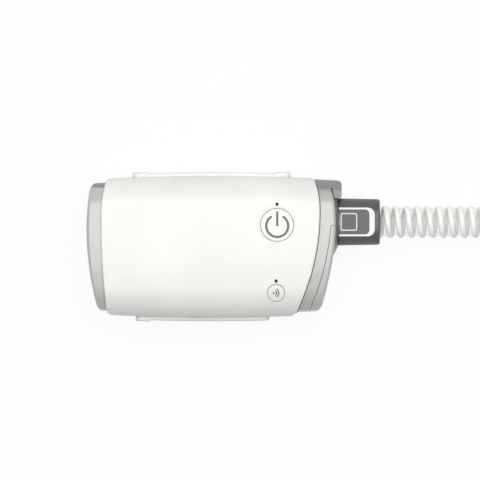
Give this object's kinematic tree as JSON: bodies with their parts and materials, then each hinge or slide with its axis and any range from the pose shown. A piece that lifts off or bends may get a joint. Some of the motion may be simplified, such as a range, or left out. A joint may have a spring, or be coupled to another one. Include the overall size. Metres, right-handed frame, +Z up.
{
  "type": "travel cpap machine with air hose",
  "caption": "Small travel CPAP blower in a rounded white case with round power button, grey end caps, side filter cover, quick-release plug and a coiled ribbed air hose.",
  "frame": {"origin": "under the middle of the machine's case, at table height", "axes": "+X along the case towards the air outlet and hose, +Y to the case's rear side, +Z up"},
  "size_m": [0.4335, 0.2036, 0.0611],
  "materials": {
    "shell_white": "satin warm white",
    "rail_white": "soft matte white",
    "cap_grey": "smooth light grey",
    "frame_grey": "fine matte mid grey",
    "plug_dark": "matte dark grey",
    "cuff_white": "satin white",
    "hose_skin": "translucent film over a white spiral rib",
    "filter_fibre": "pale fibre mat",
    "foam_dark": "open foam",
    "lamp_lens": "dark smoked lens",
    "board_green": "circuit board lacquer",
    "chip_black": "moulded chip",
    "can_metal": "drawn can",
    "steel": "plain steel",
    "pin_brass": "plated brass",
    "rubber_dark": "moulded rubber",
    "rubber_clear": "pale silicone",
    "inner_black": "glass filled black",
    "tie_black": "woven hook and loop strap"
  },
  "bodies": {
    "machine": {"top_casing": "shell_white", "bottom_casing": "shell_white", "rear_grip_rail": "rail_white", "front_grip_rail": "rail_white", "left_end_cap": "cap_grey", "outlet_end_cap": "cap_grey", "rear_end_strip": "frame_grey", "outlet_frame": "frame_grey", "frame_strut": "frame_grey", "air_filter": "filter_fibre", "filter_grid": "inner_black", "power_lamp": "lamp_lens", "wireless_lamp": "lamp_lens", "power_switch": "chip_black", "wireless_switch": "chip_black", "key_board": "board_green", "main_board": "board_green", "board_chips": "chip_black", "board_capacitors": "can_metal", "power_inlet": "chip_black", "inlet_pin": "pin_brass", "volute_lower": "inner_black", "volute_upper": "inner_black", "motor_body": "steel", "upper_bearing": "steel", "lower_bearing": "steel", "blower_mount": "rubber_dark", "inlet_foam": "foam_dark", "outlet_duct": "rubber_clear", "flow_sensor": "chip_black", "outlet_seal": "rubber_clear", "casing_screws": "steel", "rubber_feet": "rubber_dark"},
    "filter_cover": {"filter_cover": "cap_grey"},
    "power_key": {"power_button": "shell_white"},
    "wireless_key": {"wireless_button": "shell_white"},
    "rotor": {"impeller": "inner_black", "motor_shaft": "steel"},
    "air_hose": {"hose_plug_shell": "plug_dark", "hose_cuff": "cuff_white", "air_hose_run": "hose_skin", "air_hose_coil": "hose_skin", "mask_cuff": "plug_dark", "hose_tie": "tie_black"},
    "upper_tab": {"release_tab_top": "plug_dark"},
    "lower_tab": {"release_tab_bottom": "plug_dark"}
  },
  "joints": [
    {"name": "power_press", "type": "slide", "parent": "machine", "child": "power_key", "axis": [0, 0, -1], "range_m": [0, 0.0006], "stiffness_N_per_m": 3000},
    {"name": "wireless_press", "type": "slide", "parent": "machine", "child": "wireless_key", "axis": [0, 0, -1], "range_m": [0, 0.0005], "stiffness_N_per_m": 3000},
    {"name": "filter_cover_pull", "type": "slide", "parent": "machine", "child": "filter_cover", "axis": [1, 0, 0], "range_m": [0, 0.025]},
    {"name": "impeller_spin", "type": "hinge", "parent": "machine", "child": "rotor", "pos_m": [-0.002, -0.0046, 0.0216], "axis": [0, 0, 1], "continuous": true},
    {"name": "hose_pull", "type": "slide", "parent": "machine", "child": "air_hose", "axis": [1, 0, 0], "range_m": [0, 0.03]},
    {"name": "upper_tab_squeeze", "type": "hinge", "parent": "air_hose", "child": "upper_tab", "pos_m": [0.0689, 0.0134, 0.036], "axis": [0, 1, 0], "range_deg": [0, 3], "stiffness_Nm_per_rad": 1},
    {"name": "lower_tab_squeeze", "type": "hinge", "parent": "air_hose", "child": "lower_tab", "pos_m": [0.0689, 0.0134, 0.016], "axis": [0, -1, 0], "range_deg": [0, 3], "stiffness_Nm_per_rad": 1}
  ]
}
